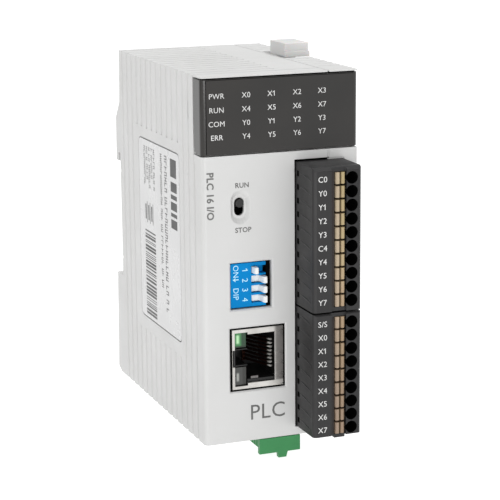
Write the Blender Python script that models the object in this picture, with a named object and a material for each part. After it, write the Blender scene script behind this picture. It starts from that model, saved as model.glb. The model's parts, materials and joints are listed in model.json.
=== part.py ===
"""Slim DIN-rail programmable controller, drawn as separate moulded, metal and board parts.

All dimensions are millimetres measured from the module's lower front left corner: x runs to the
right along the front, y runs back into the cabinet and z runs up. `place` turns them into metres
from the middle of the rail seat, where the rear face rests on the rail.
"""
import math

import bmesh
import bpy
from mathutils import Vector

# Housing
WIDTH = 42.3
HEIGHT = 95.0
WALL = 1.8
GAP = 0.3
SEAM_Y = 5.8            # front bezel ends here, main housing starts GAP further back
SEAM_X = 34.1           # main housing ends here, right cover starts GAP further right
INNER_REAR_Y = 66.6
TOP_REAR_Y = 68.4
CORNER_RADIUS = 1.2

# 35 mm rail seat in the rear face
RAIL_FACE_Y = 69.5
RAIL_BOTTOM_Z = 30.3
RAIL_TOP_Z = 65.3
FLANGE_SLOT = 1.6

# Moulded ribs
RIB_PITCH = 4.3
RIB_START_Y = 10.1
RIB_COUNT = 14
RIB_WIDTH = 1.5
RIB_FLOOR = 0.8
RIB_DEPTH = 0.45
LABEL_Y = (17.3, 52.0)
LABEL_Z = (22.8, 73.3)
LABEL_RECESS = 0.6
LABEL_THICKNESS = 0.3

# Smoked indicator window
WINDOW_Z = (75.35, 94.3)
WINDOW_FRONT_Y = -0.15
WINDOW_WALL = 1.2
SEAT_DEPTH = 1.45
PIPE_COLUMNS = (4.9, 12.1, 19.0, 25.9, 32.7)
PIPE_ROWS = (90.0, 86.55, 83.1, 79.7)

# Terminal plugs
POLE_PITCH = 3.5
PLUG_X = (25.25, 38.35)
PLUG_FRONT_Y = -11.5
PLUG_BACK_Y = 1.5
TONGUE_X = (27.3, 37.7)
TONGUE_BACK_Y = 5.5
OUTPUT_Z = (35.3, 72.35)
OUTPUT_FIRST_Z = 69.45
OUTPUT_POLES = ("c0", "y0", "y1", "y2", "y3", "c4", "y4", "y5", "y6", "y7")
INPUT_Z = (2.4, 34.85)
INPUT_FIRST_Z = 32.3
INPUT_POLES = ("ss", "x0", "x1", "x2", "x3", "x4", "x5", "x6", "x7")
WIRE_X = 35.75
WIRE_RADIUS = 1.6
WIRE_FLOOR_Y = -3.5
BUTTON_BAND_X = (30.2, 34.25)
BUTTON_BAND_DEPTH = 0.6
BUTTON_SLOT_X = (31.1, 34.25)
BUTTON_SLOT_FLOOR_Y = -3.0
BUTTON_X = (31.4, 33.95)
BUTTON_Y = (-11.3, -4.6)
BUTTON_HEIGHT = 2.95
PIN_X = 32.5
PIN_SIZE = 0.8
PIN_HOLE = 1.5

# RUN/STOP switch
TOGGLE_X = 10.2
TOGGLE_Z = 61.75
TOGGLE_SLOT = (2.6, 4.6)
TOGGLE_DISH = (5.2, 8.8)
TOGGLE_TRAVEL = 1.9

# DIP switch
DIP_X = (7.7, 18.3)
DIP_FACE_RIGHT = 17.3
DIP_STEP_Y = 3.6
DIP_Z = (35.55, 47.05)
DIP_FACE_Y = 0.9
DIP_COVER_BACK_Y = 1.5
DIP_CHANNEL_BACK_Y = 3.1
DIP_BACK_Y = 9.0
DIP_PITCH = 2.54
DIP_CENTRE_Z = 41.3
DIP_SLOT_X = (13.35, 18.5)
DIP_CHANNEL_X = (10.8, 18.5)
DIP_SLOT_HEIGHT = 2.05
DIP_SLIDER_HEIGHT = 1.65
DIP_POST_X = (16.0, 17.1)
DIP_POST_FRONT_Y = -1.0
DIP_TRAVEL = 2.35

# Network jack
JACK_X = (7.75, 21.9)
JACK_Y = (0.6, 20.6)
JACK_Z = (13.85, 29.85)
JACK_CENTRE_Z = 22.2
LED_X = (8.8, 11.9)
LINK_LED_Z = (24.8, 29.15)
ACTIVITY_LED_Z = (14.7, 19.6)
CONTACT_PITCH = 1.016

# Power plug, three poles at 3.81 mm
POWER_X = (15.05, 26.45)
POWER_PITCH = 3.81
POWER_CENTRE_X = 20.75

ROUND_STEPS = 20
MM = 0.001
ORIGIN = (WIDTH / 2, RAIL_FACE_Y, (RAIL_BOTTOM_Z + RAIL_TOP_Z) / 2)

COLOURS = {
    "white_abs": ((0.80, 0.80, 0.79), 0.0, 0.45),
    "smoked": ((0.05, 0.048, 0.045), 0.0, 0.12),
    "clear": ((0.85, 0.87, 0.88), 0.0, 0.15),
    "dark_pa": ((0.06, 0.058, 0.058), 0.0, 0.5),
    "tan_pa": ((0.62, 0.46, 0.28), 0.0, 0.5),
    "black": ((0.02, 0.02, 0.02), 0.0, 0.4),
    "blue": ((0.01, 0.24, 0.60), 0.0, 0.4),
    "white": ((0.88, 0.88, 0.86), 0.0, 0.4),
    "nickel": ((0.62, 0.61, 0.59), 1.0, 0.3),
    "gold": ((0.83, 0.62, 0.25), 1.0, 0.25),
    "green_pa": ((0.05, 0.30, 0.10), 0.0, 0.4),
    "board": ((0.02, 0.20, 0.09), 0.0, 0.4),
    "led_green": ((0.15, 0.65, 0.20), 0.0, 0.2),
    "led_clear": ((0.60, 0.62, 0.58), 0.0, 0.2),
    "natural_pom": ((0.82, 0.82, 0.80), 0.0, 0.35),
    "label": ((0.86, 0.86, 0.85), 0.0, 0.35),
    "relay": ((0.03, 0.10, 0.35), 0.0, 0.4),
    "ferrite": ((0.30, 0.24, 0.08), 0.0, 0.5),
    "can": ((0.66, 0.66, 0.68), 1.0, 0.3),
}


def clear_scene():
    for item in list(bpy.data.objects):
        bpy.data.objects.remove(item, do_unlink=True)


def place(x, y, z):
    """Turn module millimetres into world metres."""
    return (Vector((x, y, z)) - Vector(ORIGIN)) * MM


def material(slot):
    found = bpy.data.materials.get(slot)
    if found:
        return found
    colour, metallic, roughness = COLOURS[slot]
    made = bpy.data.materials.new(slot)
    made.use_nodes = True
    shader = made.node_tree.nodes["Principled BSDF"]
    shader.inputs["Base Color"].default_value = (*colour, 1.0)
    shader.inputs["Metallic"].default_value = metallic
    shader.inputs["Roughness"].default_value = roughness
    made.diffuse_color = (*colour, 1.0)
    return made


def add_loops(bm, loops):
    """Close a stack of equally long point loops into one solid."""
    rings = [[bm.verts.new(place(*point)) for point in loop] for loop in loops]
    count = len(rings[0])
    for lower, upper in zip(rings, rings[1:]):
        for i in range(count):
            j = (i + 1) % count
            bm.faces.new((lower[i], lower[j], upper[j], upper[i]))
    bm.faces.new(list(reversed(rings[0])))
    bm.faces.new(rings[-1])


def prism(points, axis, low, high):
    """Solid made by running a closed outline of (a, b) points along one axis."""
    def point(a, b, along):
        if axis == "X":
            return (along, a, b)
        if axis == "Y":
            return (a, along, b)
        return (a, b, along)
    return [[point(a, b, low) for a, b in points], [point(a, b, high) for a, b in points]]


def box(x, y, z):
    """Solid box from three (low, high) pairs."""
    outline = ((x[0], y[0]), (x[1], y[0]), (x[1], y[1]), (x[0], y[1]))
    return prism(outline, "Z", z[0], z[1])


def around(centre, size):
    return (centre - size / 2, centre + size / 2)


def ring_points(a, b, radius, steps=ROUND_STEPS):
    turn = 2 * math.pi / steps
    return [(a + radius * math.cos(turn * i), b + radius * math.sin(turn * i)) for i in range(steps)]


def stadium(a, b, width, length, steps=8):
    """Outline with straight sides and half-round ends, longer along b."""
    radius = width / 2
    reach = length / 2 - radius
    points = []
    for i in range(steps + 1):
        angle = math.pi * i / steps
        points.append((a + radius * math.cos(angle), b + reach + radius * math.sin(angle)))
    for i in range(steps + 1):
        angle = math.pi + math.pi * i / steps
        points.append((a + radius * math.cos(angle), b - reach + radius * math.sin(angle)))
    return points


def rounded_rectangle(a, b, radius, steps=4):
    """Outline of the (low, high) pairs a and b with rounded corners."""
    corners = (
        (a[1] - radius, b[1] - radius, 0.0),
        (a[0] + radius, b[1] - radius, 0.5 * math.pi),
        (a[0] + radius, b[0] + radius, math.pi),
        (a[1] - radius, b[0] + radius, 1.5 * math.pi),
    )
    points = []
    for centre_a, centre_b, start in corners:
        for i in range(steps + 1):
            angle = start + 0.5 * math.pi * i / steps
            points.append((centre_a + radius * math.cos(angle), centre_b + radius * math.sin(angle)))
    return points


def solid_object(name, solids):
    bm = bmesh.new()
    for loops in solids:
        add_loops(bm, loops)
    bmesh.ops.recalc_face_normals(bm, faces=bm.faces)
    mesh = bpy.data.meshes.new(name)
    bm.to_mesh(mesh)
    bm.free()
    made = bpy.data.objects.new(name, mesh)
    bpy.context.scene.collection.objects.link(made)
    return made


def combine(target, solids, operation):
    """Join solids to the target, or cut them out of it."""
    tool = solid_object("tool", solids)
    step = target.modifiers.new("step", "BOOLEAN")
    step.operation = operation
    step.solver = "EXACT"
    step.use_self = True
    step.object = tool
    bpy.context.view_layer.update()
    shaped = target.evaluated_get(bpy.context.evaluated_depsgraph_get())
    mesh = bpy.data.meshes.new_from_object(shaped)
    target.modifiers.clear()
    target.data = mesh
    bpy.data.objects.remove(tool, do_unlink=True)


def make(name, slot, solids, joined=(), cuts=(), origin=None, smooth=False):
    """One named part: solids joined together, then cut, then given a material and origin."""
    part = solid_object(name, solids)
    if joined:
        combine(part, joined, "UNION")
    if cuts:
        combine(part, cuts, "DIFFERENCE")
    bm = bmesh.new()
    bm.from_mesh(part.data)
    bmesh.ops.remove_doubles(bm, verts=bm.verts, dist=0.000002)
    bmesh.ops.dissolve_limit(bm, angle_limit=0.005, verts=bm.verts, edges=bm.edges)
    bmesh.ops.triangulate(bm, faces=bm.faces)
    bmesh.ops.recalc_face_normals(bm, faces=bm.faces)
    if origin is not None:
        bmesh.ops.translate(bm, verts=bm.verts, vec=-place(*origin))
    mesh = bpy.data.meshes.new(name)
    bm.to_mesh(mesh)
    bm.free()
    part.data = mesh
    mesh.name = name
    mesh.materials.clear()
    mesh.materials.append(material(slot))
    if origin is not None:
        part.location = place(*origin)
    if smooth:
        mesh.shade_smooth()
    return part


def rib_cut_side(y, z):
    """Trapezoid groove in the left face, running up."""
    outline = (
        (-0.5, y - RIB_WIDTH / 2),
        (0.0, y - RIB_WIDTH / 2),
        (RIB_DEPTH, y - RIB_FLOOR / 2),
        (RIB_DEPTH, y + RIB_FLOOR / 2),
        (0.0, y + RIB_WIDTH / 2),
        (-0.5, y + RIB_WIDTH / 2),
    )
    return prism(outline, "Z", z[0], z[1])


def rib_cut_top(y, x):
    """Trapezoid groove in the top face, running across."""
    outline = (
        (y - RIB_WIDTH / 2, HEIGHT + 0.5),
        (y - RIB_WIDTH / 2, HEIGHT),
        (y - RIB_FLOOR / 2, HEIGHT - RIB_DEPTH),
        (y + RIB_FLOOR / 2, HEIGHT - RIB_DEPTH),
        (y + RIB_WIDTH / 2, HEIGHT),
        (y + RIB_WIDTH / 2, HEIGHT + 0.5),
    )
    return prism(outline, "X", x[0], x[1])


RIB_ROWS = [RIB_START_Y + RIB_PITCH * k for k in range(RIB_COUNT)]

# Outline of the housing seen from the side, with the rail seat in the rear face.
SIDE_OUTLINE = [
    (73.3, 0.0),
    (76.0, 1.2),
    (74.8, RAIL_BOTTOM_Z - 0.4),
    (RAIL_FACE_Y, RAIL_BOTTOM_Z - 0.4),
    (RAIL_FACE_Y, RAIL_TOP_Z + 0.4),
    (RAIL_FACE_Y + FLANGE_SLOT, RAIL_TOP_Z + 0.4),
    (RAIL_FACE_Y + FLANGE_SLOT, RAIL_TOP_Z - 2.1),
    (73.2, RAIL_TOP_Z - 2.1),
    (72.9, 75.6),
    (69.3, 80.3),
    (TOP_REAR_Y, HEIGHT),
]


# Shallow grooves in the rail seat, level with the inner edges of the rail's flanges.
SEAT_GROOVES_Z = (34.9, 60.1)


def seat_grooves(x):
    return [box(x, (RAIL_FACE_Y - 0.4, RAIL_FACE_Y + 1), (z, z + 0.8)) for z in SEAT_GROOVES_Z]


def housing_outline(front_y):
    return SIDE_OUTLINE + [(front_y, HEIGHT), (front_y, 0.0)]


def build_main_housing():
    front = SEAM_Y + GAP
    cuts = [box((WALL, SEAM_X + 1), (front - 1, INNER_REAR_Y), (WALL, HEIGHT - WALL))]
    for k, y in enumerate(RIB_ROWS):
        cuts.append(rib_cut_top(y, (-1.0, 23.4)))
        if 2 <= k <= 10:
            cuts.append(rib_cut_side(y, (-1.0, 19.1)))
            cuts.append(rib_cut_side(y, (76.2, HEIGHT + 1)))
        else:
            cuts.append(rib_cut_side(y, (-1.0, HEIGHT + 1)))
    cuts.append(rib_cut_side(SEAM_Y, (-1.0, 72.7)))
    label = rounded_rectangle(LABEL_Y, LABEL_Z, 2.0)
    cuts.append(prism(label, "X", -1.0, LABEL_RECESS))
    # slot over the bezel's snap arm
    cuts.append(box((-1.0, WALL + 0.5), (9.55, 10.65), (83.3, 87.8)))
    cuts += seat_grooves((-1.0, WIDTH + 1))
    # power plug opening in the floor
    cuts.append(box((POWER_X[0] - GAP, POWER_X[1] + GAP), (front - 1, 11.0), (-1.0, WALL + 1)))
    # latch channel through the rear foot
    cuts.append(box((9.9, 32.1), (70.8, 74.3), (-1.0, 40.0)))
    return make("main_housing", "white_abs", [prism(housing_outline(front), "X", 0.0, SEAM_X)], cuts=cuts)


def bezel_outline():
    """Plan of the bezel block with its rounded front left edge."""
    points = [(SEAM_X, 0.0), (SEAM_X, SEAM_Y), (0.0, SEAM_Y)]
    for i in range(5):
        angle = math.pi + 0.5 * math.pi * i / 4
        points.append((CORNER_RADIUS + CORNER_RADIUS * math.cos(angle),
                       CORNER_RADIUS + CORNER_RADIUS * math.sin(angle)))
    return points


def toggle_dish():
    """Tapered oval dish around the switch slot."""
    outer = stadium(TOGGLE_X, TOGGLE_Z, *TOGGLE_DISH)
    inner = stadium(TOGGLE_X, TOGGLE_Z, 3.5, 6.2)
    wide = stadium(TOGGLE_X, TOGGLE_Z, TOGGLE_DISH[0] + 1.0, TOGGLE_DISH[1] + 1.0)
    return [
        [(a, -0.5, b) for a, b in wide],
        [(a, 0.0, b) for a, b in outer],
        [(a, 1.0, b) for a, b in inner],
    ]


def window_with_rim(x, z, depth):
    """Opening with a small bevelled rim."""
    rim = 0.35
    loops = []
    for grow, y in ((rim + 0.5, -0.5), (rim, 0.0), (0.0, rim), (0.0, depth)):
        loops.append([
            (x[0] - grow, y, z[0] - grow),
            (x[1] + grow, y, z[0] - grow),
            (x[1] + grow, y, z[1] + grow),
            (x[0] - grow, y, z[1] + grow),
        ])
    return loops


def build_front_bezel():
    block = prism(bezel_outline(), "Z", 0.0, HEIGHT)
    tongues = [
        box((2.1, 3.3), (3.5, 13.0), (80.0, 91.0)),
        box((0.9, 2.6), (9.85, 10.35), (84.0, 87.1)),
        box((2.1, 3.3), (1.0, 12.0), (12.0, 24.0)),
    ]
    cavity = [
        box((WALL, SEAM_X + 1), (WALL, SEAM_Y + 1), (WALL, 74.0)),
        box((3.0, SEAM_X + 1), (2.9, SEAM_Y + 1), (73.5, HEIGHT - WALL)),
    ]
    seat = [
        box((-1.0, SEAM_X + 1), (-1.0, SEAT_DEPTH), (WINDOW_Z[0] - GAP, WINDOW_Z[1] + GAP)),
        box((-1.0, SEAT_DEPTH), (-1.0, SEAM_Y + 1), (WINDOW_Z[0] - GAP, WINDOW_Z[1] + GAP)),
        box((3.3, SEAM_X + 1), (0.0, 4.0), (77.5, 92.5)),
    ]
    openings = [
        toggle_dish(),
        prism(stadium(TOGGLE_X, TOGGLE_Z, *TOGGLE_SLOT), "Y", 0.5, 4.0),
        window_with_rim((7.4, 18.6), (35.2, 47.4), 4.0),
        window_with_rim((7.1, 22.2), (13.55, 30.3), 4.0),
        box((PLUG_X[0] - GAP, SEAM_X + 1), (-1.0, 4.0), (INPUT_Z[0] - GAP, 72.85)),
        box((POWER_X[0] - GAP, POWER_X[1] + GAP), (2.0, SEAM_Y + 1), (-1.0, WALL + 1)),
        rib_cut_side(SEAM_Y, (-1.0, 72.7)),
    ]
    bezel = make("front_bezel", "white_abs", [block], cuts=cavity + seat + openings)
    combine(bezel, tongues, "UNION")
    return bezel


def build_right_cover():
    left = SEAM_X + GAP
    outline = housing_outline(0.0)
    cuts = [
        box((left - 1, WIDTH - WALL), (WALL, INNER_REAR_Y), (WALL, 74.0)),
        box((left - 1, WIDTH - WALL - 1.2), (2.9, SEAM_Y + 1), (73.5, HEIGHT - WALL)),
        box((left - 1, WIDTH - WALL), (SEAM_Y, INNER_REAR_Y), (73.0, HEIGHT - WALL)),
        # indicator window seat
        box((left - 1, WIDTH + 1), (-1.0, SEAT_DEPTH), (WINDOW_Z[0] - GAP, WINDOW_Z[1] + GAP)),
        box((WIDTH - SEAT_DEPTH, WIDTH + 1), (-1.0, SEAM_Y), (WINDOW_Z[0] - GAP, WINDOW_Z[1] + GAP)),
        box((left - 1, 39.3), (0.0, 4.0), (77.5, 92.5)),
        # terminal plug opening
        box((left - 1, PLUG_X[1] + GAP), (-1.0, 4.0), (INPUT_Z[0] - GAP, OUTPUT_Z[1] + GAP)),
        *seat_grooves((-1.0, WIDTH + 1)),
        # expansion port
        box((WIDTH - WALL - 1, WIDTH + 1), (27.4, 46.6), (61.4, 68.6)),
    ]
    for y in RIB_ROWS:
        if not 31.0 < y < 50.0:
            cuts.append(rib_cut_top(y, (35.4, WIDTH + 1)))
    cover = make("right_cover", "white_abs", [prism(outline, "X", left, WIDTH)], cuts=cuts)
    # open pocket that takes the module lock clip when it is pressed down
    pocket_floor = [box((left, WIDTH), (29.1, 49.4), (89.9, 93.8))]
    pocket = [
        box((34.9, WIDTH + 1), (30.6, 48.0), (91.2, HEIGHT + 1)),
        box((36.1, 40.3), (35.1, 40.5), (88.0, 92.0)),
    ]
    combine(cover, pocket_floor, "UNION")
    combine(cover, pocket, "DIFFERENCE")
    return cover


def build_indicator_window():
    back = SEAM_Y - 0.2
    side = (0.0, WIDTH)
    corner = 1.2
    outer = [(side[1], back)]
    for i in range(5):
        angle = -0.5 * math.pi * i / 4
        outer.append((side[1] - corner + corner * math.cos(angle),
                      WINDOW_FRONT_Y + corner + corner * math.sin(angle)))
    for i in range(5):
        angle = -0.5 * math.pi - 0.5 * math.pi * i / 4
        outer.append((side[0] + corner + corner * math.cos(angle),
                      WINDOW_FRONT_Y + corner + corner * math.sin(angle)))
    outer.append((side[0], back))
    inner = [
        (side[0] + WINDOW_WALL, back),
        (side[0] + WINDOW_WALL, WINDOW_FRONT_Y + WINDOW_WALL),
        (side[1] - WINDOW_WALL, WINDOW_FRONT_Y + WINDOW_WALL),
        (side[1] - WINDOW_WALL, back),
    ]
    # rounded lower rear corners of both side returns
    radius = 2.0
    corner_cut = [(back + 1, WINDOW_Z[0] - 1), (back - radius, WINDOW_Z[0] - 1)]
    for i in range(5):
        angle = -0.5 * math.pi + 0.5 * math.pi * i / 4
        corner_cut.append((back - radius + radius * math.cos(angle),
                           WINDOW_Z[0] + radius + radius * math.sin(angle)))
    corner_cut.append((back + 1, WINDOW_Z[0] + radius))
    cuts = [prism(corner_cut, "X", -1.0, WIDTH + 1)]
    return make("indicator_window", "smoked", [prism(outer + inner, "Z", *WINDOW_Z)], cuts=cuts)


def build_light_guide():
    plate = box((3.6, 39.0), (1.6, 2.6), (77.8, 92.2))
    pipes = []
    for x in PIPE_COLUMNS:
        for z in PIPE_ROWS:
            pipes.append(prism(ring_points(x, z, 1.0, 8), "Y", 2.3, 7.3))
    return make("light_guide", "clear", [plate], joined=pipes)


def build_led_array():
    plate = box((3.8, 39.2), (8.5, 9.0), (77.0, 93.0))
    leds = [
        box(around(x, 1.6), (7.6, 8.7), around(z, 0.9))
        for x in PIPE_COLUMNS
        for z in PIPE_ROWS
    ]
    return make("led_array", "white", [plate], joined=leds)


def build_boards():
    front = [(3.8, 33.0), (24.6, 33.0), (24.6, 76.0), (39.2, 76.0), (39.2, 93.0), (3.8, 93.0)]
    make("front_pcb", "board", [prism(front, "Y", 9.3, 10.9)])
    make("main_pcb", "board", [box((22.6, 24.2), (11.2, 66.0), (4.0, 91.0))])
    make("relay_pcb", "board", [box((38.5, 40.1), (10.4, 64.0), (4.0, 58.0))])


def build_run_stop_switch():
    slot = box(around(TOGGLE_X, 2.9), (1.0, 4.9), around(TOGGLE_Z, 5.2))
    body = box((7.2, 13.1), (2.1, 9.0), (57.6, 66.4))
    make("run_stop_body", "nickel", [body], cuts=[slot])
    lever_z = TOGGLE_Z + TOGGLE_TRAVEL / 2
    cap = prism(ring_points(TOGGLE_X, lever_z, 1.1, 16), "Y", 0.5, 3.0)
    base = box(around(TOGGLE_X, 2.3), (2.6, 4.6), around(lever_z, 2.4))
    return make("run_stop_lever", "black", [base], joined=[cap], origin=(TOGGLE_X, 2.6, lever_z))


def dip_rows():
    return [DIP_CENTRE_Z + DIP_PITCH * (1.5 - i) for i in range(4)]


def build_dip_switch():
    """Blue body with a slot for each slider; the first slider stands left, the others right."""
    plan = [
        (DIP_X[0], DIP_FACE_Y),
        (DIP_FACE_RIGHT, DIP_FACE_Y),
        (DIP_FACE_RIGHT, DIP_STEP_Y),
        (DIP_X[1], DIP_STEP_Y),
        (DIP_X[1], DIP_BACK_Y),
        (DIP_X[0], DIP_BACK_Y),
    ]
    cuts = []
    for z in dip_rows():
        height = around(z, DIP_SLOT_HEIGHT)
        cuts.append(box(DIP_SLOT_X, (0.0, DIP_COVER_BACK_Y + 0.5), height))
        cuts.append(box(DIP_CHANNEL_X, (DIP_COVER_BACK_Y, DIP_CHANNEL_BACK_Y), height))
    make("dip_switch_body", "blue", [prism(plan, "Z", *DIP_Z)], cuts=cuts)
    left, right = DIP_POST_X
    foot_front = DIP_COVER_BACK_Y + GAP
    foot_back = DIP_CHANNEL_BACK_Y - GAP
    for i, z in enumerate(dip_rows()):
        shift = -DIP_TRAVEL if i == 0 else 0.0
        outline = [
            (left + 0.2, DIP_POST_FRONT_Y),
            (right - 0.2, DIP_POST_FRONT_Y),
            (right, DIP_POST_FRONT_Y + 0.3),
            (right, foot_back),
            (left - 2.5, foot_back),
            (left - 2.5, foot_front),
            (left - 0.5, foot_front),
            (left - 0.2, foot_front - 0.5),
            (left, DIP_POST_FRONT_Y + 0.4),
        ]
        outline = [(x + shift, y) for x, y in outline]
        low, high = around(z, DIP_SLIDER_HEIGHT)
        make(f"dip_lever_{i + 1}", "white", [prism(outline, "Z", low, high)],
             origin=((left + right) / 2 + shift, foot_front, z))


def build_jack():
    inner_x = (JACK_X[0] + 0.4, JACK_X[1] - 0.4)
    inner_z = (JACK_Z[0] + 0.4, JACK_Z[1] - 0.4)
    latch_notch = (19.95, 24.35)
    cuts = [
        box(inner_x, (JACK_Y[0] + 0.4, JACK_Y[1] + 1), inner_z),
        box((8.6, 19.5), (0.0, 3.0), (15.4, 28.3)),
        box((8.6, 12.05), (0.0, 3.0), (14.7, 28.9)),
        box((7.95, 8.9), (0.0, 3.0), latch_notch),
    ]
    make("rj45_shield", "nickel", [box(JACK_X, JACK_Y, JACK_Z)], cuts=cuts)
    body = box((inner_x[0] + GAP, inner_x[1] - GAP), (1.3, 19.9), (inner_z[0] + GAP, inner_z[1] - GAP))
    cuts = [
        box((12.2, 20.15), (0.0, 14.5), around(JACK_CENTRE_Z, 12.0)),
        box((8.9, 12.6), (0.0, 14.5), (latch_notch[0] + 0.25, latch_notch[1] - 0.15)),
        box((7.8, 12.2), (0.0, 6.0), (LINK_LED_Z[0] - GAP, LINK_LED_Z[1] + 1.0)),
        box((7.8, 12.2), (0.0, 6.0), (ACTIVITY_LED_Z[0] - 1.0, ACTIVITY_LED_Z[1] + GAP)),
    ]
    make("rj45_insert", "black", [body], cuts=cuts)
    rear_bar = box((14.95, 15.75), (12.2, 13.0), around(JACK_CENTRE_Z, 8.4))
    fingers = []
    for i in range(8):
        z = JACK_CENTRE_Z + CONTACT_PITCH * (3.5 - i)
        outline = [(19.05, 2.6), (19.65, 2.9), (19.45, 3.6), (15.65, 12.6), (15.05, 12.4)]
        fingers.append(prism(outline, "Z", z - 0.22, z + 0.22))
    make("rj45_contacts", "gold", [rear_bar], joined=fingers)
    make("rj45_led_link", "led_green", [box(LED_X, (1.4, 5.4), LINK_LED_Z)])
    make("rj45_led_activity", "led_clear", [box(LED_X, (1.4, 5.4), ACTIVITY_LED_Z)])


def plug_outline():
    """Plan of a terminal plug with eased front edges."""
    left, right = PLUG_X
    return [
        (left, PLUG_BACK_Y),
        (left, PLUG_FRONT_Y + 0.9),
        (left + 0.25, PLUG_FRONT_Y + 0.3),
        (left + 0.9, PLUG_FRONT_Y),
        (right - 0.5, PLUG_FRONT_Y),
        (right, PLUG_FRONT_Y + 0.5),
        (right, PLUG_BACK_Y),
    ]


def build_terminal_plug(group, z, first, poles, top_ease, foot):
    """Plug with a push button and a round wire entry for each pole, the first pole at the top."""
    block = prism(plug_outline(), "Z", *z)
    heights = [first - POLE_PITCH * i for i in range(len(poles))]
    joined = [box(TONGUE_X, (PLUG_BACK_Y - 0.5, TONGUE_BACK_Y), (z[0] + 1.0, z[1] - 1.0))]
    if foot:
        joined.append(box((31.3, 34.2), (PLUG_FRONT_Y + 0.7, PLUG_FRONT_Y + 3.5), (z[0] - foot, z[0] + 0.5)))
    slot = (heights[-1] - POLE_PITCH / 2 + 0.15, heights[0] + POLE_PITCH / 2 - 0.15)
    ease = [
        (PLUG_FRONT_Y - 1, z[1] - top_ease - 1.1),
        (PLUG_FRONT_Y + top_ease + 0.1, z[1]),
        (PLUG_FRONT_Y + top_ease + 0.1, z[1] + 1),
        (PLUG_FRONT_Y - 1, z[1] + 1),
    ]
    cuts = [
        box(BUTTON_SLOT_X, (PLUG_FRONT_Y - 1, BUTTON_SLOT_FLOOR_Y), slot),
        box(BUTTON_BAND_X, (PLUG_FRONT_Y - 1, PLUG_FRONT_Y + BUTTON_BAND_DEPTH), (z[0] - 1, z[1] + 1)),
        prism(ease, "X", PLUG_X[0] - 1, PLUG_X[1] + 1),
    ]
    for height in heights:
        cuts.append(prism(ring_points(WIRE_X, height, WIRE_RADIUS), "Y", PLUG_FRONT_Y - 1, WIRE_FLOOR_Y))
        cuts.append(box(around(PIN_X, PIN_HOLE), (-1.0, TONGUE_BACK_Y + 1), around(height, PIN_HOLE)))
        cuts.append(box((PLUG_X[0] - 1, PLUG_X[0] + 0.8), (-2.1, -0.65), around(height + 0.1, 1.45)))
    make(f"{group}_plug", "dark_pa", [block], joined=joined, cuts=cuts, origin=(32.0, -5.0, sum(z) / 2))
    for pole, height in zip(poles, heights):
        low_x, high_x = BUTTON_X
        front, back = BUTTON_Y
        middle = (low_x + high_x) / 2
        outline = [
            (low_x, back),
            (low_x, front + 0.3),
            (low_x + 0.3, front),
            (middle - 0.3, front),
            (middle, front + 0.6),
            (middle + 0.3, front),
            (high_x - 0.3, front),
            (high_x, front + 0.3),
            (high_x, back),
        ]
        low, high = around(height, BUTTON_HEIGHT)
        make(f"{group}_button_{pole}", "tan_pa", [prism(outline, "Z", low, high)],
             origin=(middle, front, height))
    header = box((27.0, 38.0), (TONGUE_BACK_Y + GAP, 9.4), (z[0] + 1.0, z[1] - 1.0))
    pins = [
        box(around(PIN_X, PIN_SIZE), (-0.6, TONGUE_BACK_Y + 1), around(height, PIN_SIZE))
        for height in heights
    ]
    make(f"{group}_header", "dark_pa", [header], joined=pins)


def build_power_plug():
    apron = [(20.15, -4.0), (20.35, -5.9), (22.55, -5.9), (23.05, -4.0)]
    joined = [
        box(POWER_X, (1.6, 10.6), (-2.8, -0.3)),
        prism(apron, "Y", 0.4, 1.7),
        box((16.15, 25.35), (3.4, 9.4), (-1.0, 6.0)),
    ]
    poles = [POWER_CENTRE_X + POWER_PITCH * (i - 1) for i in range(3)]
    cuts = []
    for x in poles:
        cuts.append(prism(ring_points(x, 6.6, 1.35, 14), "Z", -4.0, 0.8))
        cuts.append(box(around(x, 1.7), around(6.6, 1.7), (1.6, 7.0)))
    plate = box(POWER_X, (0.4, 1.7), (-4.4, -0.3))
    make("power_plug", "green_pa", [plate], joined=joined, cuts=cuts, origin=(POWER_CENTRE_X, 6.5, 0.0))
    pins = [box(around(x, 1.0), around(6.6, 1.0), (2.4, 8.0)) for x in poles]
    header = make("power_header", "green_pa", [box((15.15, 26.35), (2.2, 10.6), (0.4, 8.6))],
                  cuts=[box((15.85, 25.65), (3.1, 9.7), (-1.0, 6.6))])
    combine(header, pins, "UNION")


def build_din_latch():
    plate = box((10.2, 31.8), (71.2, 74.0), (-3.8, 30.0))
    nose = [(71.2, 29.0), (74.0, 29.0), (74.0, 31.0), (71.9, 32.2), (71.2, 32.2)]
    slot = box((17.5, 24.5), (70.0, 75.0), (-2.6, -1.2))
    return make("din_latch", "black", [plate], joined=[prism(nose, "X", 10.2, 31.8)], cuts=[slot],
                origin=(21.0, 72.6, 15.0))


def build_lock_clip():
    head = box((35.2, 42.2), (30.9, 42.4), (95.0, 98.75))
    leg = box((36.4, 40.0), (35.4, 40.2), (84.0, 95.5))
    step = box((34.8, 42.6), (30.0, 31.5), (96.6, 99.5))
    return make("lock_clip", "natural_pom", [head], joined=[leg], cuts=[step], origin=(38.7, 37.8, 95.0))


def build_label():
    outline = rounded_rectangle((LABEL_Y[0] + GAP, LABEL_Y[1] - GAP), (LABEL_Z[0] + GAP, LABEL_Z[1] - GAP), 1.7)
    return make("label_plate", "label", [prism(outline, "X", 0.0, LABEL_THICKNESS)])


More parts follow.
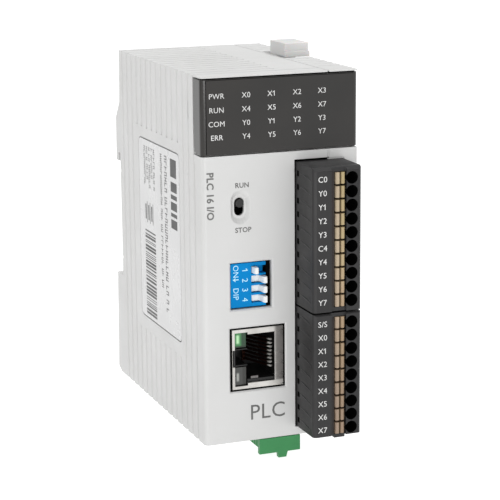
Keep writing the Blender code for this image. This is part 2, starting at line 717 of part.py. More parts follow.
def build_inner_parts():
    cavity = box((36.5, 43.0), (28.8, 45.2), (62.8, 67.2))
    make("expansion_socket", "black", [box((24.5, 42.0), (27.7, 46.3), (61.7, 68.3))], cuts=[cavity])
    for i in range(4):
        low = 6.0 + 12.5 * i
        make(f"relay_{i + 1}", "relay", [box((26.0, 38.2), (14.0, 34.0), (low, low + 10.5))])
    make("processor_chip", "black", [box((20.6, 22.3), (30.0, 44.0), (36.0, 50.0))])
    make("transformer", "ferrite", [box((8.0, 22.3), (42.0, 56.0), (8.0, 24.0))])
    can = prism(ring_points(34.0, 70.0, 4.0, 16), "X", 12.0, 22.3)
    make("bulk_capacitor", "can", [can], origin=(17.0, 34.0, 70.0))


clear_scene()
build_main_housing()
build_front_bezel()
build_right_cover()
build_indicator_window()
build_light_guide()
build_led_array()
build_boards()
build_run_stop_switch()
build_dip_switch()
build_jack()
build_terminal_plug("output", OUTPUT_Z, OUTPUT_FIRST_Z, OUTPUT_POLES, 0.85, 0.0)
build_terminal_plug("input", INPUT_Z, INPUT_FIRST_Z, INPUT_POLES, 0.35, 0.75)
build_power_plug()
build_din_latch()
build_lock_clip()
build_label()
build_inner_parts()
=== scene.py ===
"""Looks of the slim rail-mounted controller: materials, lettering, fine detail, light and camera."""
import json
import math
import random

import bmesh
import bpy
from mathutils import Matrix, Vector


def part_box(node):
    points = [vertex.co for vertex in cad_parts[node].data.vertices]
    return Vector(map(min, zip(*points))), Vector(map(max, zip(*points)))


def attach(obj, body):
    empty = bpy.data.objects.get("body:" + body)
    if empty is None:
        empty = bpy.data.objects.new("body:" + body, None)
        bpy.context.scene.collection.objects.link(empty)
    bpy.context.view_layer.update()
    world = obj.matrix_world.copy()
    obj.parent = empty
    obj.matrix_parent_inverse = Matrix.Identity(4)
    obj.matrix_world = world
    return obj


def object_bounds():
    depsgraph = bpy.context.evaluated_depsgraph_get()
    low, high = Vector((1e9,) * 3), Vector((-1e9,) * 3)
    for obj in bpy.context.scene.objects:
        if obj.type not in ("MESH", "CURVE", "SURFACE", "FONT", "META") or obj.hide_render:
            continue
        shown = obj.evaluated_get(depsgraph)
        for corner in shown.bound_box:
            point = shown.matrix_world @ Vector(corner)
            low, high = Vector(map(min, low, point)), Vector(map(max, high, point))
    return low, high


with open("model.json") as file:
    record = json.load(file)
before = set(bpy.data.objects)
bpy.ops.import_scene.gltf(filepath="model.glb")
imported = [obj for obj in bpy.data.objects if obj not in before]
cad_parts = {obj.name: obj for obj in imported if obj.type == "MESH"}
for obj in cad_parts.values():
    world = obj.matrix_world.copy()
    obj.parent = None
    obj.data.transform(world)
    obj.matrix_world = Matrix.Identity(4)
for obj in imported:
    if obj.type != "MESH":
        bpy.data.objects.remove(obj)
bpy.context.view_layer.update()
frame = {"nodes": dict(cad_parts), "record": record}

# Places are in millimetres from the front bezel's lower left front corner, called module millimetres
MM = 0.001
CORNER = Vector(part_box("front_bezel")[0])

PLUG_POLES = {
    "output": ("c0", "y0", "y1", "y2", "y3", "c4", "y4", "y5", "y6", "y7"),
    "input": ("ss", "x0", "x1", "x2", "x3", "x4", "x5", "x6", "x7"),
}
DIP_WAYS = 4
TOGGLE_HEIGHT = 61.75

# The middle of the print stands PRINT_LIFT in front of its face, and letters reach PRINT_DEPTH either way
PRINT_LIFT = 0.01
PRINT_DEPTH = 0.01
LABEL_PRINT_X = (-0.012, -0.002)

# Height of a capital as a share of the font's size
CAPITAL_SHARE = 0.73

# Near-black sleeve of a wire entry, painted shade in the hole: radius, number of sides, and ends measured
# back from the plug's front
BORE_RADIUS = 1.56
BORE_SIDES = 24
BORE_ENDS = (0.1, 7.9)

# Studio camera, in module millimetres and degrees
CAMERA_PLACE = (-143.44, -407.88, 148.71)
CAMERA_YAW = 20.945
CAMERA_PITCH = 12.667
CAMERA_ROLL = 0.511
CAMERA_LENS = 127.378


def at(x, y, z):
    """World place of a point in millimetres from the module's lower front left corner."""
    return CORNER + Vector((x, y, z)) * MM


def low(node):
    """Lowest corner of a CAD node in module millimetres."""
    return (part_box(node)[0] - CORNER) / MM


def high(node):
    """Highest corner of a CAD node in module millimetres."""
    return (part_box(node)[1] - CORNER) / MM


def middle(node):
    """Centre of a CAD node in module millimetres."""
    return (low(node) + high(node)) / 2


# ---------------------------------------------------------------- materials

class Surface:
    """A Principled material whose colour, gloss and relief vary with the place on the part."""

    def __init__(self, name, colour, rough, metallic=0.0):
        self.material = bpy.data.materials.new(name)
        self.material.use_nodes = True
        self.tree = self.material.node_tree
        self.shader = self.tree.nodes["Principled BSDF"]
        self.shader.inputs["Base Color"].default_value = (*colour, 1.0)
        self.shader.inputs["Roughness"].default_value = rough
        self.shader.inputs["Metallic"].default_value = metallic
        self.colour = colour
        self.rough = rough
        self.coords = self.add("ShaderNodeTexCoord").outputs["Object"]
        self.normal = None

    def add(self, kind, **settings):
        node = self.tree.nodes.new(kind)
        for key, value in settings.items():
            setattr(node, key, value)
        return node

    def join(self, source, target):
        self.tree.links.new(source, target)

    def stretched(self, stretch):
        mapping = self.add("ShaderNodeMapping")
        mapping.inputs["Scale"].default_value = stretch
        self.join(self.coords, mapping.inputs["Vector"])
        return mapping.outputs["Vector"]

    def noise(self, scale, detail=3.0, stretch=None):
        node = self.add("ShaderNodeTexNoise")
        node.inputs["Scale"].default_value = scale
        node.inputs["Detail"].default_value = detail
        self.join(self.stretched(stretch) if stretch else self.coords, node.inputs["Vector"])
        return node.outputs["Fac"]

    def mottle(self, other, scale, low_edge=0.35, high_edge=0.65, stretch=None):
        """Blend the base colour towards another one in soft patches."""
        ramp = self.add("ShaderNodeValToRGB")
        ramp.color_ramp.elements[0].position = low_edge
        ramp.color_ramp.elements[1].position = high_edge
        ramp.color_ramp.elements[0].color = (*other, 1.0)
        ramp.color_ramp.elements[1].color = (*self.colour, 1.0)
        self.join(self.noise(scale, stretch=stretch), ramp.inputs["Fac"])
        self.join(ramp.outputs["Color"], self.shader.inputs["Base Color"])
        return self

    def gloss(self, spread, scale, stretch=None):
        """Vary the roughness by spread either way."""
        change = self.add("ShaderNodeMapRange")
        change.inputs["To Min"].default_value = max(0.02, self.rough - spread)
        change.inputs["To Max"].default_value = self.rough + spread
        change.inputs["From Min"].default_value = 0.3
        change.inputs["From Max"].default_value = 0.7
        self.join(self.noise(scale, stretch=stretch), change.inputs["Value"])
        self.join(change.outputs["Result"], self.shader.inputs["Roughness"])
        return self

    def relief(self, scale, depth, strength=0.4, detail=2.0, stretch=None):
        """Add a fine grain, depth in millimetres."""
        bump = self.add("ShaderNodeBump")
        bump.inputs["Strength"].default_value = strength
        bump.inputs["Distance"].default_value = depth * MM
        self.join(self.noise(scale, detail, stretch), bump.inputs["Height"])
        if self.normal:
            self.join(self.normal, bump.inputs["Normal"])
        self.normal = bump.outputs["Normal"]
        self.join(self.normal, self.shader.inputs["Normal"])
        return self

    def along(self, axis, start, end, most=1.0):
        """Rise from 0 to most between two places along an axis, given in module millimetres."""
        split = self.add("ShaderNodeSeparateXYZ")
        self.join(self.coords, split.inputs["Vector"])
        corner = CORNER["XYZ".index(axis)]
        rise = self.add("ShaderNodeMapRange", interpolation_type="SMOOTHSTEP")
        rise.inputs["From Min"].default_value = corner + start * MM
        rise.inputs["From Max"].default_value = corner + end * MM
        rise.inputs["To Max"].default_value = most
        self.join(split.outputs[axis], rise.inputs["Value"])
        return rise.outputs["Result"]

    def times(self, *amounts):
        product = amounts[0]
        for amount in amounts[1:]:
            node = self.add("ShaderNodeMath", operation="MULTIPLY")
            self.join(product, node.inputs[0])
            self.join(amount, node.inputs[1])
            product = node.outputs["Value"]
        return product

    def patch(self, x, z, soft):
        """1 inside a soft-edged rectangle of the front, 0 outside it."""
        return self.times(
            self.along("X", x[0] - soft, x[0] + soft),
            self.along("X", x[1] + soft, x[1] - soft),
            self.along("Z", z[0] - soft, z[0] + soft),
            self.along("Z", z[1] + soft, z[1] - soft),
        )

    def tint(self, amount, other):
        """Blend the base colour towards another one by amount."""
        socket = self.shader.inputs["Base Color"]
        mix = self.add("ShaderNodeMixRGB")
        mix.inputs["Color1"].default_value = (*self.colour, 1.0)
        mix.inputs["Color2"].default_value = (*other, 1.0)
        if socket.links:
            self.join(socket.links[0].from_socket, mix.inputs["Color1"])
        self.join(amount, mix.inputs["Fac"])
        self.join(mix.outputs["Color"], socket)
        return self

    def set(self, **sockets):
        for key, value in sockets.items():
            self.shader.inputs[key.replace("_", " ")].default_value = value
        return self


def moulded(name, colour, shade, rough, grain=1500.0, depth=0.02):
    """Injection-moulded plastic: soft mottling, spark-eroded grain and uneven gloss."""
    made = Surface(name, colour, rough)
    made.mottle(shade, 55.0).gloss(0.06, 160.0).relief(grain, depth, 0.35)
    return made


def plated(name, colour, shade, rough):
    """Plated sheet with drawn lines and faint stains."""
    made = Surface(name, colour, rough, 1.0)
    made.mottle(shade, 240.0, stretch=(1.0, 1.0, 0.25)).gloss(0.1, 700.0, stretch=(0.1, 1.0, 1.0))
    return made.relief(1800.0, 0.01, 0.3, stretch=(0.08, 1.0, 1.0))


housing = moulded("housing_plastic", (0.60, 0.60, 0.595), (0.575, 0.575, 0.568), 0.5)
smoked = Surface("smoked_window", (0.022, 0.021, 0.020), 0.13)
smoked.mottle((0.027, 0.025, 0.023), 45.0).gloss(0.04, 90.0).relief(160.0, 0.004, 0.12)
smoked.set(Specular_IOR_Level=0.34)
clear = Surface("clear_plastic", (0.80, 0.83, 0.84), 0.12)
clear.gloss(0.05, 300.0).relief(500.0, 0.005, 0.2)
carrier = moulded("led_carrier", (0.78, 0.78, 0.74), (0.70, 0.70, 0.66), 0.4)
board = moulded("circuit_board", (0.02, 0.16, 0.07), (0.03, 0.22, 0.10), 0.32, grain=900.0)
black = moulded("black_plastic", (0.006, 0.006, 0.006), (0.010, 0.010, 0.010), 0.42)
terminal = moulded("terminal_plastic", (0.021, 0.020, 0.0205), (0.015, 0.0145, 0.015), 0.46, grain=1900.0)
terminal.set(Specular_IOR_Level=0.36)
tan = moulded("button_tan", (0.40, 0.28, 0.175), (0.34, 0.24, 0.13), 0.42, grain=2200.0)
tan.tint(tan.times(tan.noise(330.0), tan.along("Z", 34.0, 50.0, 0.55)), (0.42, 0.39, 0.16))
# painted shade: the left bar of each release button is tinted greyer where it lies in shadow
tan.tint(tan.along("X", 33.0, 32.4, 0.5), (0.46, 0.38, 0.30))
# painted shade: the release buttons grow darker towards the bottom of the plugs
tan.tint(tan.along("Z", 55.0, 0.0, 0.75), (0.23, 0.155, 0.11))
# painted shade: a dark line down the groove between the two bars of each button
tan.tint(tan.times(tan.along("X", 32.3, 32.5), tan.along("X", 32.95, 32.75)), (0.10, 0.07, 0.035))
blue = moulded("dip_blue", (0.003, 0.24, 0.60), (0.002, 0.19, 0.49), 0.36, grain=1800.0, depth=0.01)
blue.set(Specular_IOR_Level=0.05)
slider_white = moulded("dip_white", (0.86, 0.87, 0.86), (0.80, 0.81, 0.80), 0.35, grain=1800.0, depth=0.01)
green = moulded("power_green", (0.045, 0.25, 0.082), (0.036, 0.21, 0.07), 0.40)
green.set(Specular_IOR_Level=0.3)
natural = moulded("natural_plastic", (0.66, 0.66, 0.65), (0.62, 0.62, 0.61), 0.33)
natural.set(Subsurface_Weight=0.15, Subsurface_Scale=0.0015)
film = moulded("label_film", (0.60, 0.60, 0.60), (0.56, 0.56, 0.56), 0.28, grain=800.0, depth=0.004)
relay_case = moulded("relay_case", (0.03, 0.10, 0.32), (0.02, 0.08, 0.27), 0.35)
ferrite = moulded("ferrite", (0.30, 0.24, 0.08), (0.22, 0.17, 0.05), 0.5, grain=700.0, depth=0.05)
nickel = plated("jack_shield", (0.60, 0.585, 0.56), (0.50, 0.485, 0.46), 0.30)
# painted shade: the shield's right band, above its bottom strip, is darkened
nickel.tint(nickel.times(nickel.along("X", 19.0, 20.2), nickel.along("Z", 15.1, 15.7)), (0.20, 0.19, 0.182))
switch_metal = plated("switch_metal", (0.58, 0.57, 0.55), (0.48, 0.47, 0.45), 0.33)
can = plated("capacitor_can", (0.66, 0.66, 0.68), (0.58, 0.58, 0.60), 0.28)
# contacts: the silver-white metal makes the tips read as a painted highlight, and the part from 3.3 mm back
# is painted dark as shade
contact_highlight_and_shade = plated("contact_gold", (0.95, 0.93, 0.90), (0.86, 0.84, 0.80), 0.6)
contact_highlight_and_shade.tint(contact_highlight_and_shade.along("Y", 3.3, 4.0), (0.035, 0.014, 0.010))
led_green = moulded("led_green", (0.055, 0.24, 0.075), (0.04, 0.19, 0.06), 0.18, grain=400.0)
# painted shade: the LED darkens towards its right edge
led_green.tint(led_green.along("X", 10.2, 10.9), (0.012, 0.05, 0.02))
# painted shade: the LED darkens along its bottom edge
led_green.tint(led_green.along("Z", 25.5, 25.0), (0.006, 0.02, 0.008))
# painted highlight: an oval patch of pale green on the LED
led_green.tint(led_green.patch((9.25, 9.95), (25.9, 28.1), 0.35), (0.50, 0.85, 0.48))
led_clear = moulded("led_clear", (0.055, 0.056, 0.052), (0.04, 0.041, 0.038), 0.18, grain=400.0)
# painted shade: the LED darkens towards its right edge
led_clear.tint(led_clear.along("X", 10.6, 11.1), (0.025, 0.025, 0.022))
# painted highlight: a pale patch on the LED
led_clear.tint(led_clear.patch((9.3, 9.8), (15.9, 18.0), 0.35), (0.42, 0.43, 0.40))
# painted shade: near-black for holes, gaps, wells and edge lines that lie in shadow
shade_fill = moulded("painted_shade_black", (0.0012, 0.0012, 0.0010), (0.0020, 0.0020, 0.0018), 0.9)
shade_fill.set(Specular_IOR_Level=0.05)
# painted shade: dark brown for the shadowed sides of the release buttons in their slot
slot_shade = moulded("slot_shade_brown", (0.017, 0.010, 0.008), (0.010, 0.006, 0.005), 0.7)
# painted highlight: lighter copy of the shield metal for the bright rolled edge
edge_highlight = plated("edge_highlight", (0.72, 0.70, 0.68), (0.60, 0.58, 0.56), 0.35)
# painted shade: darker copy of the shield metal for the spring that lies in shade
shaded_spring_metal = plated("shaded_spring_metal", (0.20, 0.19, 0.185), (0.14, 0.135, 0.13), 0.4)
print_white = moulded("print_white", (0.74, 0.74, 0.73), (0.62, 0.62, 0.61), 0.55, grain=2500.0)
print_grey = moulded("print_grey", (0.10, 0.10, 0.097), (0.14, 0.14, 0.136), 0.55, grain=2500.0)
print_black = moulded("print_black", (0.020, 0.020, 0.020), (0.035, 0.035, 0.035), 0.45, grain=2500.0)
print_blue = moulded("print_dip", (0.55, 0.86, 0.97), (0.42, 0.78, 0.93), 0.5, grain=2500.0)

SLOT_SURFACES = {
    "housing_plastic": housing,
    "smoked_window": smoked,
    "clear_plastic": clear,
    "led_carrier": carrier,
    "circuit_board": board,
    "switch_metal": switch_metal,
    "black_plastic": black,
    "dip_blue": blue,
    "dip_white": slider_white,
    "jack_shield": nickel,
    "contact_gold": contact_highlight_and_shade,
    "led_green": led_green,
    "led_clear": led_clear,
    "terminal_plastic": terminal,
    "button_tan": tan,
    "power_green": green,
    "natural_plastic": natural,
    "label_film": film,
    "relay_case": relay_case,
    "ferrite": ferrite,
    "capacitor_can": can,
}

# ---------------------------------------------------------------- CAD nodes

# Edge radius in millimetres for each node that needs another one than the usual
EDGE_RADIUS = {
    "main_housing": 0.22,
    "front_bezel": 0.22,
    "right_cover": 0.22,
    "indicator_window": 0.18,
    "output_plug": 0.14,
    "input_plug": 0.14,
    "lock_clip": 0.35,
    "power_plug": 0.2,
    "rj45_contacts": 0.05,
    "dip_switch_body": 0.1,
}
USUAL_RADIUS = 0.1


def soften(node, radius):
    """Round a CAD node's edges as moulding or pressing does."""
    weld = node.modifiers.new("weld", "WELD")
    weld.merge_threshold = 0.000005
    bevel = node.modifiers.new("edges", "BEVEL")
    bevel.width = radius * MM
    bevel.segments = 2
    bevel.limit_method = "ANGLE"
    bevel.angle_limit = math.radians(32.0)


def dress_nodes():
    """Give every CAD node its slot's surface and rounded edges."""
    slots = {row["node"]: row["material_slot"] for row in frame["record"]["subparts"]}
    for name, node in frame["nodes"].items():
        surface = SLOT_SURFACES[slots[name]].material
        node.data.materials.clear()
        node.data.materials.append(surface)
        for polygon in node.data.polygons:
            polygon.material_index = 0
        soften(node, EDGE_RADIUS.get(name, USUAL_RADIUS))


# ---------------------------------------------------------------- helpers for pieces

def add_block(bm, x, y, z):
    """Add a box given as (low, high) pairs in module millimetres."""
    corners = [bm.verts.new(at(a, b, c)) for a in x for b in y for c in z]
    for face in ((0, 1, 3, 2), (4, 6, 7, 5), (0, 4, 5, 1), (2, 3, 7, 6), (0, 2, 6, 4), (1, 5, 7, 3)):
        bm.faces.new([corners[i] for i in face])


def finish_piece(name, bm, surface, body):
    """Turn bm into a named piece that rides on body."""
    mesh = bpy.data.meshes.new(name)
    bmesh.ops.recalc_face_normals(bm, faces=bm.faces)
    bm.to_mesh(mesh)
    bm.free()
    piece = bpy.data.objects.new(name, mesh)
    bpy.context.scene.collection.objects.link(piece)
    piece.data.materials.append(surface.material)
    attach(piece, body)


def add_flag(mesh, size):
    """Give the last figure 1 of a line of print its slanting flag."""
    right = max(v.co.x for v in mesh.vertices)
    top = max(v.co.y for v in mesh.vertices)
    near = right - 0.1 * size
    outline = (
        (near, top),
        (near, top - 0.2 * size),
        (near - 0.3 * size, top - 0.36 * size),
        (near - 0.3 * size, top - 0.22 * size),
    )
    bm = bmesh.new()
    bm.from_mesh(mesh)
    bm.faces.new([bm.verts.new((x, y, PRINT_DEPTH * MM)) for x, y in outline])
    bm.to_mesh(mesh)
    bm.free()


def lettering(name, text, place, size, surface, body, turn=0.0, weight=0.0):
    """Raised print centred on place (module mm). size is the height of a capital."""
    curve = bpy.data.curves.new(name, "FONT")
    curve.body = text
    curve.size = size * MM / CAPITAL_SHARE
    curve.align_x = "CENTER"
    curve.align_y = "CENTER"
    curve.extrude = PRINT_DEPTH * MM
    curve.offset = weight * size * MM
    curve.resolution_u = 3
    curve.space_character = 1.04
    writer = bpy.data.objects.new(name, curve)
    bpy.context.scene.collection.objects.link(writer)
    writer.data.materials.append(surface.material)
    upright = Matrix.Rotation(math.radians(90.0), 4, "X")
    spin = Matrix.Rotation(math.radians(turn), 4, "Z")
    matrix = Matrix.Translation(at(*place)) @ upright @ spin
    bpy.context.view_layer.update()
    depsgraph = bpy.context.evaluated_depsgraph_get()
    mesh = bpy.data.meshes.new_from_object(writer.evaluated_get(depsgraph))
    if text.endswith("1"):
        add_flag(mesh, size * MM)
    mesh.transform(matrix)
    mesh.name = name
    bpy.data.objects.remove(writer, do_unlink=True)
    piece = bpy.data.objects.new(name, mesh)
    bpy.context.scene.collection.objects.link(piece)
    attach(piece, body)


# ---------------------------------------------------------------- lettering

def window_lettering():
    """Names of the indicators behind the window."""
    columns = (4.1, 11.95, 18.8, 25.65, 32.45)
    rows = (90.03, 86.55, 83.1, 79.7)
    words = (
        ("PWR", "X0", "X1", "X2", "X3"),
        ("RUN", "X4", "X5", "X6", "X7"),
        ("COM", "Y0", "Y1", "Y2", "Y3"),
        ("ERR", "Y4", "Y5", "Y6", "Y7"),
    )
    face = low("indicator_window").y - PRINT_LIFT
    for z, line in zip(rows, words):
        for x, word in zip(columns, line):
            lettering(f"mark_{word.lower()}_window", word, (x, face, z), 1.38, print_white, "housing")


def switch_lettering():
    """Words beside the toggle, and the generic kind and size of the module."""
    face = -PRINT_LIFT
    lettering("mark_run", "RUN", (10.7, face, 67.3), 1.3, print_grey, "housing", weight=0.03)
    lettering("mark_stop", "STOP", (10.9, face, 55.85), 1.3, print_grey, "housing", weight=0.03)
    lettering("mark_kind", "PLC", (17.2, face, 7.3), 4.2, print_grey, "housing")
    size_place = (2.1, face, 65.1)
    lettering("mark_size", "PLC 16 I/O", size_place, 1.85, print_grey, "housing", turn=-90.0, weight=0.04)


def dip_lettering():
    """ON, DIP, the numbers of the sliders and an arrow on the switch's face."""
    face = low("dip_switch_body").y - PRINT_LIFT
    lettering("mark_dip_on", "ON", (9.03, face, 45.05), 1.5, print_blue, "housing", turn=-90.0)
    lettering("mark_dip_kind", "DIP", (9.03, face, 39.2), 1.5, print_blue, "housing", turn=-90.0)
    for way in range(1, DIP_WAYS + 1):
        place = (11.5, face, middle(f"dip_lever_{way}").z)
        lettering(f"mark_dip_{way}", str(way), place, 1.6, print_blue, "housing", turn=-90.0)
    bm = bmesh.new()
    add_block(bm, (8.9, 9.85), (face, face + PRINT_DEPTH), (42.75, 43.0))
    head = ((8.25, 42.87), (9.0, 43.4), (9.0, 42.35))
    bm.faces.new([bm.verts.new(at(x, face, z)) for x, z in head])
    finish_piece("mark_dip_arrow", bm, print_blue, "housing")


def terminal_lettering():
    """Name of each pole beside its release button."""
    for group, poles in PLUG_POLES.items():
        face = low(f"{group}_plug").y - PRINT_LIFT
        for pole in poles:
            word = "S/S" if pole == "ss" else pole.upper()
            place = (27.75, face, middle(f"{group}_button_{pole}").z - 0.1)
            lettering(f"mark_{group}_{pole}", word, place, 1.5, print_white, f"{group}_plug")


def add_glyph(bm, rng, y, z, height, width):
    """One meaningless figure of the label's small print, standing along y and read down z."""
    pen = 0.24 * width
    face = LABEL_PRINT_X
    add_block(bm, face, (y, y + height), (z - pen, z))
    kind = rng.randrange(3)
    if kind > 0:
        add_block(bm, face, (y, y + height), (z - width, z - width + pen))
    level = y + rng.choice((0.0, 0.4, 0.8)) * height
    add_block(bm, face, (level, level + 0.2 * height), (z - width, z))


def label_print():
    """Rows of unreadable small print, a block, thick bars and a bar code on the side label."""
    rng = random.Random(7)
    bm = bmesh.new()
    face = LABEL_PRINT_X
    add_block(bm, face, (19.9, 24.7), (66.3, 71.1))
    top = 65.0
    for width in (2.6, 1.2, 2.2, 1.0, 2.4):
        add_block(bm, face, (19.6, 24.5), (top - width, top))
        top -= width + 0.75
    rows = [(27.7, 2.0, 1.05, 71.1, 27.4), (31.7, 1.5, 0.85, 71.1, 34.2)]
    rows += [(38.0 + 2.0 * k, 1.3, 0.8, 71.2, 59.5 + 2.2 * (k % 2)) for k in range(5)]
    for y, height, width, start, end in rows:
        z = start
        while z - width > end:
            add_glyph(bm, rng, y, z, height, width)
            z -= width * (1.38 if rng.random() < 0.85 else 2.3)
    for y in (39.9, 42.4, 44.9):
        add_block(bm, face, (y, y + 0.35), (50.2, 56.0))
        add_block(bm, face, (y + 0.9, y + 1.7), (51.0, 55.2))
    z = 48.0
    while z > 24.4:
        width = rng.choice((0.22, 0.4, 0.62))
        add_block(bm, face, (38.2, 47.2), (z - width, z))
        z -= width + rng.choice((0.25, 0.4, 0.6))
    finish_piece("label_print", bm, print_black, "housing")


# ---------------------------------------------------------------- fine detail

def line_bore(bm, x, front, z):
    """Near-black sleeve and floor inside one round wire entry, painted shade in the hole."""
    turns = [2 * math.pi * k / BORE_SIDES for k in range(BORE_SIDES)]
    rings = []
    for end in BORE_ENDS:
        places = [(x + BORE_RADIUS * math.cos(a), z + BORE_RADIUS * math.sin(a)) for a in turns]
        rings.append([bm.verts.new(at(across, front + end, up)) for across, up in places])
    for k in range(BORE_SIDES):
        bm.faces.new((rings[0][k], rings[0][k - 1], rings[1][k - 1], rings[1][k]))
    bm.faces.new(rings[1])


def button_border(group, poles):
    """Painted shade: a dark brown band along the inner side of a plug's column of buttons, where the
    buttons' sides lie in shadow.
    """
    plug = f"{group}_plug"
    inner = low(f"{group}_button_{poles[0]}").x
    front = low(plug).y
    band = bmesh.new()
    height = (low(plug).z + 1.2, high(plug).z - 1.2)
    add_block(band, (inner - 1.15, inner - 0.35), (front + 0.5, front + 0.59), height)
    finish_piece(f"{group}_button_border", band, slot_shade, plug)


def plug_detail():
    """Near-black linings painted as shade in the wire entries and side notches, side ribs, and painted
    shade bands beside the buttons of both plugs.
    """
    for group, poles in PLUG_POLES.items():
        plug = f"{group}_plug"
        left = low(plug).x
        dark = bmesh.new()
        ribs = bmesh.new()
        for pole in poles:
            button = f"{group}_button_{pole}"
            z = middle(button).z
            line_bore(dark, high(button).x + 1.8, low(plug).y, z)
            # painted shade in the side notch
            add_block(dark, (left + 0.08, left + 0.7), (-2.05, -0.7), (z - 0.58, z + 0.78))
            add_rib(ribs, left, (-2.6, -9.9), z + 0.5)
        finish_piece(f"{group}_shade_lining", dark, shade_fill, plug)
        finish_piece(f"{group}_side_ribs", ribs, terminal, plug)
        button_border(group, poles)


def add_rib(bm, left, y, z):
    """Thin drooping rib on a plug's left side."""
    steps = 6
    rows = []
    for k in range(steps + 1):
        t = k / steps
        along = y[0] + (y[1] - y[0]) * t
        level = z - 0.9 * t * t
        crest = 0.12 * math.sin(math.pi * min(max(t, 0.08), 0.92))
        rows.append([
            bm.verts.new(at(left + 0.01, along, level + 0.16)),
            bm.verts.new(at(left - crest, along, level)),
            bm.verts.new(at(left + 0.01, along, level - 0.5)),
        ])
    for one, other in zip(rows, rows[1:]):
        for k in range(2):
            bm.faces.new((one[k], other[k], other[k + 1], one[k + 1]))


def plug_gaps(bm):
    """Painted shade in the gaps above the output plug and down the left of both plugs."""
    left = low("output_plug").x
    top = high("output_plug").z
    seam = high("front_bezel").x
    add_block(bm, (left - 0.25, seam - 0.05), (0.25, 1.3), (top + 0.06, top + 0.46))
    add_block(bm, (left - 0.27, left - 0.12), (0.4, 1.3), (low("input_plug").z, top + 0.4))


def window_gap(bm):
    """Painted shade in the gap above the indicator window."""
    right = high("indicator_window").x
    top = high("indicator_window").z
    add_block(bm, (0.8, right - 0.8), (0.1, 0.7), (top + 0.03, top + 0.27))


def dip_gap(bm):
    """Shadow on the right of the DIP switch."""
    base = low("dip_switch_body")
    body = high("dip_switch_body")
    add_block(bm, (body.x - 0.95, body.x + 0.25), (1.3, 3.5), (base.z - 0.3, body.z + 0.3))


def jack_gap(bm):
    """Painted shade in the gap all round the jack's shield, widest on its left and above it."""
    inner = low("rj45_shield")
    outer = high("rj45_shield")
    x = (inner.x - 0.62, outer.x + 0.27)
    z = (inner.z - 0.27, outer.z + 0.42)
    depth = (0.4, 1.7)
    clear_of_shield = 0.04
    add_block(bm, (x[0], inner.x - clear_of_shield), depth, z)
    add_block(bm, (outer.x + clear_of_shield, x[1]), depth, z)
    add_block(bm, x, depth, (outer.z + clear_of_shield, z[1]))
    add_block(bm, x, depth, (z[0], inner.z - clear_of_shield))


def toggle_well(bm):
    """Painted shade: dark floor and four thin dark walls of the toggle's well."""
    centre = middle("run_stop_body").x + 0.05
    front = low("run_stop_body").y
    half_width = 1.42
    half_height = 2.55
    wall = 0.03
    x = (centre - half_width, centre + half_width)
    y = (front + 0.02, front + 2.75)
    z = (TOGGLE_HEIGHT - half_height, TOGGLE_HEIGHT + half_height)
    add_block(bm, x, (y[1] - 2 * wall, y[1]), z)
    add_block(bm, (x[0], x[0] + wall), y, z)
    add_block(bm, (x[1] - wall, x[1]), y, z)
    add_block(bm, x, y, (z[0], z[0] + wall))
    add_block(bm, x, y, (z[1] - wall, z[1]))


def fill_gaps():
    """Shadowed gaps around the plugs, window, DIP switch, jack and toggle, as one piece."""
    dark = bmesh.new()
    for add_gap in (plug_gaps, window_gap, dip_gap, jack_gap, toggle_well):
        add_gap(dark)
    finish_piece("dark_gaps", dark, shade_fill, "housing")


def seam_lip():
    """Lip of the right cover beside the bezel and above the output plug."""
    seam = high("front_bezel").x
    plug = high("output_plug")
    bm = bmesh.new()
    height = (plug.z + 0.62, low("indicator_window").z - 0.35)
    add_block(bm, (seam + 0.01, seam + 0.29), (0.03, 0.8), height)
    add_block(bm, (seam + 0.01, plug.x + 0.1), (0.05, 0.9), (plug.z + 0.03, plug.z + 0.28))
    finish_piece("seam_lip", bm, housing, "housing")


def window_edges():
    """Painted shade line inside the window's top and left front edges."""
    corner = low("indicator_window")
    far = high("indicator_window")
    bm = bmesh.new()
    face = (corner.y - 0.008, corner.y - 0.001)
    add_block(bm, (1.2, far.x - 1.25), face, (far.z - 0.3, far.z - 0.18))
    add_block(bm, (1.25, 1.42), face, (corner.z + 0.25, far.z - 0.3))
    finish_piece("window_edge_lines", bm, shade_fill, "housing")


def jack_detail():
    """Rolled edge of the shield's opening in lighter metal as a painted highlight, and the grounding spring
    in its floor in darker metal as painted shade.
    """
    edge = bmesh.new()
    add_block(edge, (19.46, 19.56), (0.55, 0.62), (15.6, 28.1))
    finish_piece("jack_edge_highlight", edge, edge_highlight, "housing")
    spring = bmesh.new()
    add_block(spring, (13.1, 15.1), (1.3, 1.4), (16.3, 16.9))
    add_block(spring, (13.3, 15.0), (1.0, 1.9), (15.35, 15.5))
    finish_piece("jack_ground_spring", spring, shaded_spring_metal, "housing")


def power_plug_ribs():
    """Five grip ribs on the power plug's left side."""
    first_y = 2.4
    pitch = 1.6
    width = 0.6
    bm = bmesh.new()
    left = low("power_plug").x
    for k in range(5):
        y = first_y + pitch * k
        add_block(bm, (left - 0.12, left + 0.02), (y, y + width), (-2.6, -0.5))
    finish_piece("power_plug_grip", bm, green, "power_plug")


# ---------------------------------------------------------------- studio

def build_floor():
    """Pale paper floor, just below the module."""
    floor_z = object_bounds()[0].z - 0.0002
    bm = bmesh.new()
    bmesh.ops.create_grid(bm, x_segments=2, y_segments=2, size=6.0)
    bmesh.ops.translate(bm, verts=bm.verts, vec=(0.0, 0.0, floor_z))
    mesh = bpy.data.meshes.new("floor")
    bm.to_mesh(mesh)
    bm.free()
    floor = bpy.data.objects.new("floor", mesh)
    bpy.context.scene.collection.objects.link(floor)
    paper = moulded("studio_paper", (0.36, 0.36, 0.36), (0.34, 0.34, 0.34), 0.8, grain=90.0)
    paper.set(Emission_Color=(1.0, 1.0, 1.0, 1.0), Emission_Strength=0.9)
    floor.data.materials.append(paper.material)


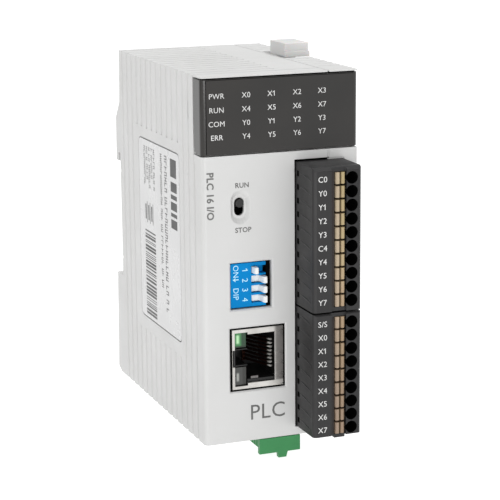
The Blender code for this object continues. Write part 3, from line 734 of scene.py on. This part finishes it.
def light_world():
    """Even white light from every side."""
    world = bpy.data.worlds.new("studio")
    world.use_nodes = True
    backdrop = world.node_tree.nodes["Background"]
    backdrop.inputs["Color"].default_value = (1.0, 1.0, 1.0, 1.0)
    backdrop.inputs["Strength"].default_value = 0.66
    bpy.context.scene.world = world


def hang_lamps():
    """Square soft lamps that face the module: name, place in metres, side in metres and watts."""
    lamps = (
        ("key", (-0.75, -0.35, 0.45), 0.7, 0.15),
        ("top", (0.1, 0.15, 0.9), 0.8, 6.0),
        ("front", (-0.2, -0.75, -0.02), 0.3, 2.3),
    )
    for name, place, side, power in lamps:
        light = bpy.data.lights.new(name, "AREA")
        light.shape = "SQUARE"
        light.size = side
        light.energy = power
        lamp = bpy.data.objects.new(name, light)
        lamp.location = place
        lamp.rotation_euler = (-Vector(place)).to_track_quat("-Z", "Y").to_euler()
        bpy.context.scene.collection.objects.link(lamp)


def build_camera():
    """Camera turned by yaw to the right, pitch downwards and roll about its own axis."""
    yaw, pitch, roll = (math.radians(a) for a in (CAMERA_YAW, CAMERA_PITCH, CAMERA_ROLL))
    ahead = Vector((math.sin(yaw) * math.cos(pitch), math.cos(yaw) * math.cos(pitch), -math.sin(pitch)))
    right = Vector((math.cos(yaw), -math.sin(yaw), 0.0))
    down = ahead.cross(right)
    tilted_right = right * math.cos(roll) + down * math.sin(roll)
    tilted_up = right * math.sin(roll) - down * math.cos(roll)
    turn = Matrix((tilted_right, tilted_up, -ahead)).transposed()
    data = bpy.data.cameras.new("camera")
    data.sensor_width = 36.0
    data.lens = CAMERA_LENS
    data.clip_start = 0.01
    data.clip_end = 50.0
    camera = bpy.data.objects.new("camera", data)
    camera.matrix_world = Matrix.Translation(at(*CAMERA_PLACE)) @ turn.to_4x4()
    bpy.context.scene.collection.objects.link(camera)
    bpy.context.scene.camera = camera


dress_nodes()
window_lettering()
switch_lettering()
dip_lettering()
terminal_lettering()
label_print()
plug_detail()
fill_gaps()
seam_lip()
window_edges()
jack_detail()
power_plug_ribs()
build_floor()
light_world()
hang_lamps()
build_camera()
bpy.context.scene.view_settings.view_transform = "Standard"
